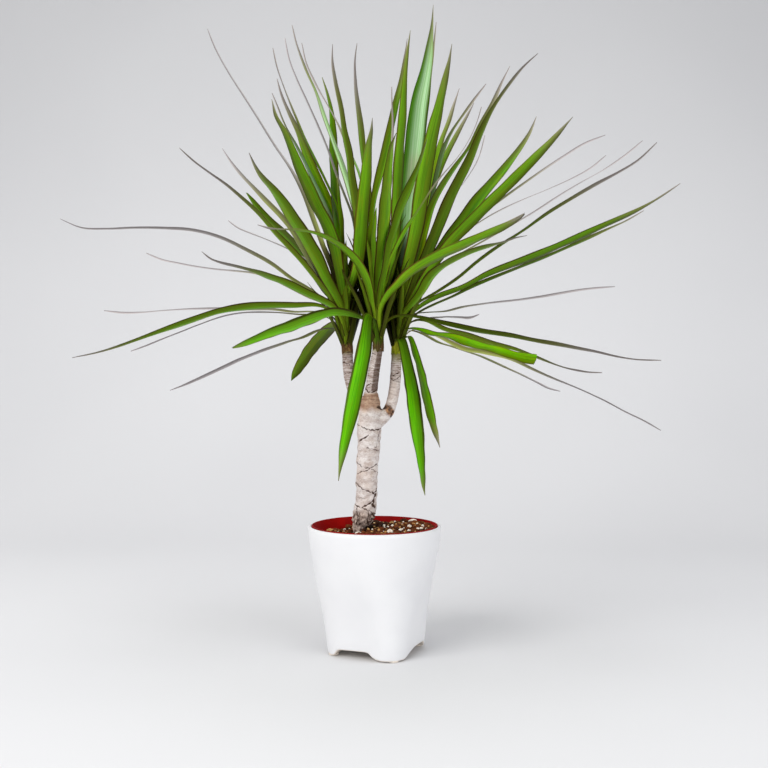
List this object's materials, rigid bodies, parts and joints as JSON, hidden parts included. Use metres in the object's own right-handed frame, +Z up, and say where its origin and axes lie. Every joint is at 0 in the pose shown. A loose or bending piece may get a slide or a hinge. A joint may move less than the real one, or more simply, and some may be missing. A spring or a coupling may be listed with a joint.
{
  "type": "potted dracaena marginata",
  "caption": "Young dragon tree in a white footed pot: a pale woody cane forks into three branches, each with a crown of long sword-shaped leaves.",
  "frame": {"origin": "on the pot's axis, at the level the feet stand on, under the middle of the whole plant's box", "axes": "+Z up; the picture looks along +Y, with +X to its right"},
  "size_m": [0.6216, 0.3825, 0.6495],
  "materials": {
    "pot": "matt white, slightly uneven",
    "nursery_pot": "satin brick red",
    "soil": "loose bark mix with tan and white bits",
    "cane": "pale dry bark with darker leaf scars",
    "young_leaf": "satin",
    "leaf_bright": "satin, fine parallel veins",
    "leaf_green": "satin, fine parallel veins, thin red-brown margins",
    "leaf_dark": "satin, fine parallel veins, brown margins",
    "leaf_grey": "matt, grey-purple",
    "leaf_pale": "satin, pale lengthwise stripes"
  },
  "bodies": {
    "root": {"cover_pot": "pot", "nursery_pot": "nursery_pot", "soil": "soil", "cane": "cane", "heart_left": "young_leaf", "heart_centre": "young_leaf", "heart_right": "young_leaf", "leaf_left_01": "leaf_green", "leaf_left_02": "leaf_grey", "leaf_left_03": "leaf_grey", "leaf_left_04": "leaf_dark", "leaf_left_05": "leaf_grey", "leaf_left_06": "leaf_green", "leaf_left_07": "leaf_grey", "leaf_left_08": "leaf_dark", "leaf_left_09": "leaf_dark", "leaf_left_10": "leaf_grey", "leaf_left_11": "leaf_green", "leaf_left_12": "leaf_grey", "leaf_left_13": "leaf_green", "leaf_left_14": "leaf_dark", "leaf_left_15": "leaf_grey", "leaf_left_16": "leaf_dark", "leaf_left_17": "leaf_green", "leaf_left_18": "leaf_dark", "leaf_left_19": "leaf_dark", "leaf_left_20": "leaf_green", "leaf_centre_01": "leaf_bright", "leaf_centre_02": "leaf_bright", "leaf_centre_03": "leaf_green", "leaf_centre_04": "leaf_green", "leaf_centre_05": "leaf_dark", "leaf_centre_06": "leaf_green", "leaf_centre_07": "leaf_green", "leaf_centre_08": "leaf_green", "leaf_centre_09": "leaf_green", "leaf_centre_10": "leaf_dark", "leaf_right_01": "leaf_bright", "leaf_right_02": "leaf_green", "leaf_right_03": "leaf_green", "leaf_right_04": "leaf_pale", "leaf_right_05": "leaf_dark", "leaf_right_06": "leaf_dark", "leaf_right_07": "leaf_dark", "leaf_right_08": "leaf_dark", "leaf_right_09": "leaf_dark", "leaf_right_10": "leaf_green", "leaf_right_11": "leaf_green", "leaf_right_12": "leaf_grey", "leaf_right_13": "leaf_grey", "leaf_right_14": "leaf_grey", "leaf_right_15": "leaf_green", "leaf_right_16": "leaf_dark", "leaf_right_17": "leaf_green", "leaf_right_18": "leaf_dark", "leaf_right_19": "leaf_grey", "leaf_right_20": "leaf_green", "leaf_right_21": "leaf_grey", "leaf_right_22": "leaf_grey", "leaf_right_23": "leaf_dark"}
  },
  "joints": []
}
